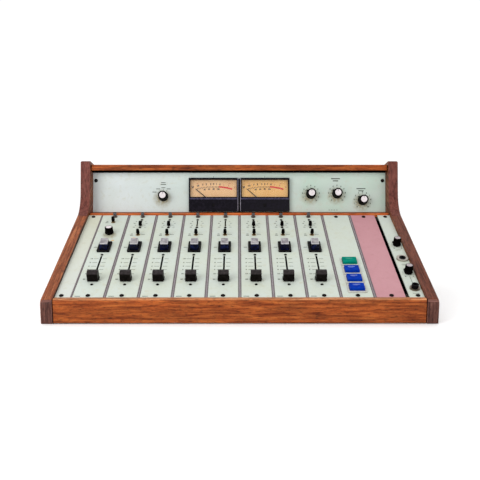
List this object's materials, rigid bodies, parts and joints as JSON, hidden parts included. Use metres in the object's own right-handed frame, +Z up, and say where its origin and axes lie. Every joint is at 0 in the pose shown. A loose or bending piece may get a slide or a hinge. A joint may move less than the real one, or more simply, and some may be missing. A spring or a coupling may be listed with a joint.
{
  "type": "mixing console",
  "caption": "Desktop audio mixing console in a wooden case, with sloping channel strips of faders, lever keys and toggles below a leaning panel of level meters.",
  "frame": {"origin": "under the middle of the case, on the surface it stands on", "axes": "+X to the console's right as its operator sees it, +Y from the front edge to the back, +Z up"},
  "size_m": [0.521, 0.354, 0.2156],
  "materials": {
    "walnut_side": "satin oiled walnut",
    "walnut_rail": "satin oiled walnut, strong straight grain",
    "chassis_steel": "black semi-matte paint on folded steel",
    "mint_plate": "pale mint-grey enamel, lightly stained",
    "mint_panel": "pale mint-grey enamel, lightly stained",
    "pink_plate": "dusty pink enamel",
    "divider_metal": "dull satin extrusion",
    "meter_case": "black moulded plastic",
    "meter_lens": "clear acrylic",
    "control_plastic": "black moulded plastic",
    "circuit_board": "green laminate",
    "fastener_steel": "blackened screws and plated studs",
    "connector_metal": "nickel plate",
    "fader_cap": "black moulded plastic",
    "lever_cap": "black moulded plastic",
    "key_plastic": "dark translucent plastic with a pale top",
    "blue_lens": "translucent blue plastic",
    "green_lens": "translucent green plastic",
    "knob_plastic": "black plastic with a pale cap",
    "needle_metal": "black enamelled needle"
  },
  "bodies": {
    "console": {"left_side_panel": "walnut_side", "right_side_panel": "walnut_side", "front_rail": "walnut_rail", "top_board": "walnut_rail", "ledge_rail": "walnut_rail", "chassis_tray": "chassis_steel", "module_faceplates": "mint_plate", "blank_faceplate": "pink_plate", "divider_bars": "divider_metal", "meter_panel": "mint_panel", "vu_meter_cases": "meter_case", "vu_lenses": "meter_lens", "control_bodies": "control_plastic", "circuit_boards": "circuit_board", "panel_fasteners": "fastener_steel", "connectors": "connector_metal"},
    "fader_knob_1": {"fader_knob_1": "fader_cap"},
    "toggle_lever_1": {"toggle_lever_1": "lever_cap"},
    "cue_key_1": {"cue_key_1": "key_plastic"},
    "fader_knob_2": {"fader_knob_2": "fader_cap"},
    "toggle_lever_2": {"toggle_lever_2": "lever_cap"},
    "cue_key_2": {"cue_key_2": "key_plastic"},
    "slide_lever_2": {"slide_lever_2": "lever_cap"},
    "fader_knob_3": {"fader_knob_3": "fader_cap"},
    "toggle_lever_3": {"toggle_lever_3": "lever_cap"},
    "cue_key_3": {"cue_key_3": "key_plastic"},
    "slide_lever_3": {"slide_lever_3": "lever_cap"},
    "fader_knob_4": {"fader_knob_4": "fader_cap"},
    "toggle_lever_4": {"toggle_lever_4": "lever_cap"},
    "cue_key_4": {"cue_key_4": "key_plastic"},
    "slide_lever_4": {"slide_lever_4": "lever_cap"},
    "fader_knob_5": {"fader_knob_5": "fader_cap"},
    "toggle_lever_5": {"toggle_lever_5": "lever_cap"},
    "cue_key_5": {"cue_key_5": "key_plastic"},
    "slide_lever_5": {"slide_lever_5": "lever_cap"},
    "fader_knob_6": {"fader_knob_6": "fader_cap"},
    "toggle_lever_6": {"toggle_lever_6": "lever_cap"},
    "cue_key_6": {"cue_key_6": "key_plastic"},
    "slide_lever_6": {"slide_lever_6": "lever_cap"},
    "fader_knob_7": {"fader_knob_7": "fader_cap"},
    "toggle_lever_7": {"toggle_lever_7": "lever_cap"},
    "cue_key_7": {"cue_key_7": "key_plastic"},
    "slide_lever_7": {"slide_lever_7": "lever_cap"},
    "fader_knob_8": {"fader_knob_8": "fader_cap"},
    "toggle_lever_8": {"toggle_lever_8": "lever_cap"},
    "cue_key_8": {"cue_key_8": "key_plastic"},
    "slide_lever_8": {"slide_lever_8": "lever_cap"},
    "blue_button_1": {"blue_button_1": "blue_lens"},
    "blue_button_2": {"blue_button_2": "blue_lens"},
    "blue_button_3": {"blue_button_3": "blue_lens"},
    "green_button": {"green_button": "green_lens"},
    "selector_knob": {"selector_knob": "knob_plastic"},
    "level_knob_1": {"level_knob_1": "knob_plastic"},
    "level_knob_2": {"level_knob_2": "knob_plastic"},
    "level_knob_3": {"level_knob_3": "knob_plastic"},
    "channel_1_knob": {"channel_1_knob": "knob_plastic"},
    "headphone_knob": {"headphone_knob": "knob_plastic"},
    "talkback_knob": {"talkback_knob": "knob_plastic"},
    "vu_needle_left": {"vu_needle_left": "needle_metal"},
    "vu_needle_right": {"vu_needle_right": "needle_metal"}
  },
  "joints": [
    {"name": "fader_1_slide", "type": "slide", "parent": "console", "child": "fader_knob_1", "axis": [0, 0.9198, 0.3923], "range_m": [0, 0.06]},
    {"name": "toggle_1_tilt", "type": "hinge", "parent": "console", "child": "toggle_lever_1", "pos_m": [-0.20115, 0.03953, 0.11586], "axis": [1, 0, 0], "range_deg": [-12, 12]},
    {"name": "cue_key_1_tilt", "type": "hinge", "parent": "console", "child": "cue_key_1", "pos_m": [-0.20115, -0.03612, 0.08142], "axis": [1, 0, 0], "range_deg": [-8, 8]},
    {"name": "fader_2_slide", "type": "slide", "parent": "console", "child": "fader_knob_2", "axis": [0, 0.9198, 0.3923], "range_m": [0, 0.06]},
    {"name": "toggle_2_tilt", "type": "hinge", "parent": "console", "child": "toggle_lever_2", "pos_m": [-0.15645, 0.00007, 0.09903], "axis": [1, 0, 0], "range_deg": [-12, 12]},
    {"name": "cue_key_2_tilt", "type": "hinge", "parent": "console", "child": "cue_key_2", "pos_m": [-0.15645, -0.03612, 0.08142], "axis": [1, 0, 0], "range_deg": [-8, 8]},
    {"name": "slide_2_travel", "type": "slide", "parent": "console", "child": "slide_lever_2", "axis": [0, 0.9198, 0.3923], "range_m": [0, 0.016]},
    {"name": "fader_3_slide", "type": "slide", "parent": "console", "child": "fader_knob_3", "axis": [0, 0.9198, 0.3923], "range_m": [0, 0.06]},
    {"name": "toggle_3_tilt", "type": "hinge", "parent": "console", "child": "toggle_lever_3", "pos_m": [-0.11175, 0.00007, 0.09903], "axis": [1, 0, 0], "range_deg": [-12, 12]},
    {"name": "cue_key_3_tilt", "type": "hinge", "parent": "console", "child": "cue_key_3", "pos_m": [-0.11175, -0.03612, 0.08142], "axis": [1, 0, 0], "range_deg": [-8, 8]},
    {"name": "slide_3_travel", "type": "slide", "parent": "console", "child": "slide_lever_3", "axis": [0, 0.9198, 0.3923], "range_m": [0, 0.016]},
    {"name": "fader_4_slide", "type": "slide", "parent": "console", "child": "fader_knob_4", "axis": [0, 0.9198, 0.3923], "range_m": [0, 0.06]},
    {"name": "toggle_4_tilt", "type": "hinge", "parent": "console", "child": "toggle_lever_4", "pos_m": [-0.06705, 0.00007, 0.09903], "axis": [1, 0, 0], "range_deg": [-12, 12]},
    {"name": "cue_key_4_tilt", "type": "hinge", "parent": "console", "child": "cue_key_4", "pos_m": [-0.06705, -0.03612, 0.08142], "axis": [1, 0, 0], "range_deg": [-8, 8]},
    {"name": "slide_4_travel", "type": "slide", "parent": "console", "child": "slide_lever_4", "axis": [0, 0.9198, 0.3923], "range_m": [0, 0.016]},
    {"name": "fader_5_slide", "type": "slide", "parent": "console", "child": "fader_knob_5", "axis": [0, 0.9198, 0.3923], "range_m": [0, 0.06]},
    {"name": "toggle_5_tilt", "type": "hinge", "parent": "console", "child": "toggle_lever_5", "pos_m": [-0.02235, 0.00007, 0.09903], "axis": [1, 0, 0], "range_deg": [-12, 12]},
    {"name": "cue_key_5_tilt", "type": "hinge", "parent": "console", "child": "cue_key_5", "pos_m": [-0.02235, -0.03612, 0.08142], "axis": [1, 0, 0], "range_deg": [-8, 8]},
    {"name": "slide_5_travel", "type": "slide", "parent": "console", "child": "slide_lever_5", "axis": [0, 0.9198, 0.3923], "range_m": [0, 0.016]},
    {"name": "fader_6_slide", "type": "slide", "parent": "console", "child": "fader_knob_6", "axis": [0, 0.9198, 0.3923], "range_m": [0, 0.06]},
    {"name": "toggle_6_tilt", "type": "hinge", "parent": "console", "child": "toggle_lever_6", "pos_m": [0.02235, 0.00007, 0.09903], "axis": [1, 0, 0], "range_deg": [-12, 12]},
    {"name": "cue_key_6_tilt", "type": "hinge", "parent": "console", "child": "cue_key_6", "pos_m": [0.02235, -0.03612, 0.08142], "axis": [1, 0, 0], "range_deg": [-8, 8]},
    {"name": "slide_6_travel", "type": "slide", "parent": "console", "child": "slide_lever_6", "axis": [0, 0.9198, 0.3923], "range_m": [0, 0.016]},
    {"name": "fader_7_slide", "type": "slide", "parent": "console", "child": "fader_knob_7", "axis": [0, 0.9198, 0.3923], "range_m": [0, 0.06]},
    {"name": "toggle_7_tilt", "type": "hinge", "parent": "console", "child": "toggle_lever_7", "pos_m": [0.06705, 0.00007, 0.09903], "axis": [1, 0, 0], "range_deg": [-12, 12]},
    {"name": "cue_key_7_tilt", "type": "hinge", "parent": "console", "child": "cue_key_7", "pos_m": [0.06705, -0.03612, 0.08142], "axis": [1, 0, 0], "range_deg": [-8, 8]},
    {"name": "slide_7_travel", "type": "slide", "parent": "console", "child": "slide_lever_7", "axis": [0, 0.9198, 0.3923], "range_m": [0, 0.016]},
    {"name": "fader_8_slide", "type": "slide", "parent": "console", "child": "fader_knob_8", "axis": [0, 0.9198, 0.3923], "range_m": [0, 0.06]},
    {"name": "toggle_8_tilt", "type": "hinge", "parent": "console", "child": "toggle_lever_8", "pos_m": [0.11175, 0.00007, 0.09903], "axis": [1, 0, 0], "range_deg": [-12, 12]},
    {"name": "cue_key_8_tilt", "type": "hinge", "parent": "console", "child": "cue_key_8", "pos_m": [0.11175, -0.03612, 0.08142], "axis": [1, 0, 0], "range_deg": [-8, 8]},
    {"name": "slide_8_travel", "type": "slide", "parent": "console", "child": "slide_lever_8", "axis": [0, 0.9198, 0.3923], "range_m": [0, 0.016]},
    {"name": "blue_button_1_press", "type": "slide", "parent": "console", "child": "blue_button_1", "axis": [0, 0.3923, -0.9198], "range_m": [0, 0.0025], "stiffness_N_per_m": 250, "springref_m": -0.002},
    {"name": "blue_button_2_press", "type": "slide", "parent": "console", "child": "blue_button_2", "axis": [0, 0.3923, -0.9198], "range_m": [0, 0.0025], "stiffness_N_per_m": 250, "springref_m": -0.002},
    {"name": "blue_button_3_press", "type": "slide", "parent": "console", "child": "blue_button_3", "axis": [0, 0.3923, -0.9198], "range_m": [0, 0.0025], "stiffness_N_per_m": 250, "springref_m": -0.002},
    {"name": "green_button_press", "type": "slide", "parent": "console", "child": "green_button", "axis": [0, 0.3923, -0.9198], "range_m": [0, 0.0025], "stiffness_N_per_m": 250, "springref_m": -0.002},
    {"name": "selector_knob_turn", "type": "hinge", "parent": "console", "child": "selector_knob", "pos_m": [-0.127, 0.09621, 0.15796], "axis": [0, -0.9833, 0.1822], "range_deg": [-30, 60]},
    {"name": "level_knob_1_turn", "type": "hinge", "parent": "console", "child": "level_knob_1", "pos_m": [0.1197, 0.09694, 0.16189], "axis": [0, -0.9833, 0.1822], "range_deg": [-140, 140]},
    {"name": "level_knob_2_turn", "type": "hinge", "parent": "console", "child": "level_knob_2", "pos_m": [0.1634, 0.09703, 0.16238], "axis": [0, -0.9833, 0.1822], "range_deg": [-140, 140]},
    {"name": "level_knob_3_turn", "type": "hinge", "parent": "console", "child": "level_knob_3", "pos_m": [0.2061, 0.09501, 0.15147], "axis": [0, -0.9833, 0.1822], "range_deg": [-140, 140]},
    {"name": "channel_1_knob_turn", "type": "hinge", "parent": "console", "child": "channel_1_knob", "pos_m": [-0.20115, 0.00258, 0.10336], "axis": [0, -0.3923, 0.9198], "range_deg": [-140, 140]},
    {"name": "headphone_knob_turn", "type": "hinge", "parent": "console", "child": "headphone_knob", "pos_m": [0.2356, -0.03275, 0.0883], "axis": [0, -0.3923, 0.9198], "range_deg": [-140, 140]},
    {"name": "talkback_knob_turn", "type": "hinge", "parent": "console", "child": "talkback_knob", "pos_m": [0.2356, -0.10688, 0.05667], "axis": [0, -0.3923, 0.9198], "range_deg": [-140, 140]},
    {"name": "vu_left_swing", "type": "hinge", "parent": "console", "child": "vu_needle_left", "pos_m": [-0.043, 0.09168, 0.14558], "axis": [0, 0.9833, -0.1822], "range_deg": [0, 96], "stiffness_Nm_per_rad": 0.0001, "springref_deg": -22.92},
    {"name": "vu_right_swing", "type": "hinge", "parent": "console", "child": "vu_needle_right", "pos_m": [0.0424, 0.09168, 0.14558], "axis": [0, 0.9833, -0.1822], "range_deg": [0, 96], "stiffness_Nm_per_rad": 0.0001, "springref_deg": -22.92}
  ]
}
